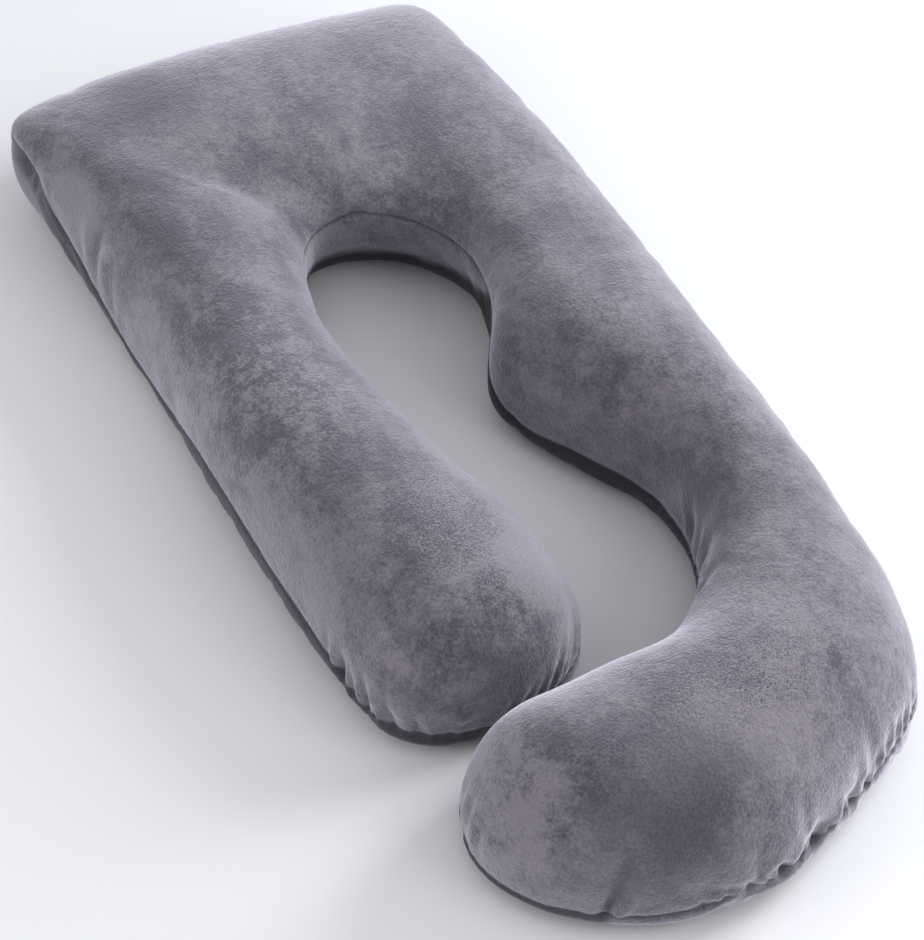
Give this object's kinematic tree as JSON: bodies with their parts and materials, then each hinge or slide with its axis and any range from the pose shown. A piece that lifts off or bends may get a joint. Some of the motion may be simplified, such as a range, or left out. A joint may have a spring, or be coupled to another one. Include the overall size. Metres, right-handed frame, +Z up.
{
  "type": "j-shaped nursing pillow",
  "caption": "Full-body nursing pillow with one straight arm and one J-shaped arm round a long hollow, a plush cover of two panels sewn at one seam, filled.",
  "frame": {"origin": "middle of the footprint's box, on the surface that the pillow lies on", "axes": "+Z up through the thickness, +Y along the length towards the closed head end, +X towards the hooked arm"},
  "size_m": [0.618, 1.4302, 0.1855],
  "materials": {
    "plush": "short-pile plush velvet, grey-lavender"
  },
  "bodies": {
    "root": {"pillow": "plush"}
  },
  "joints": []
}
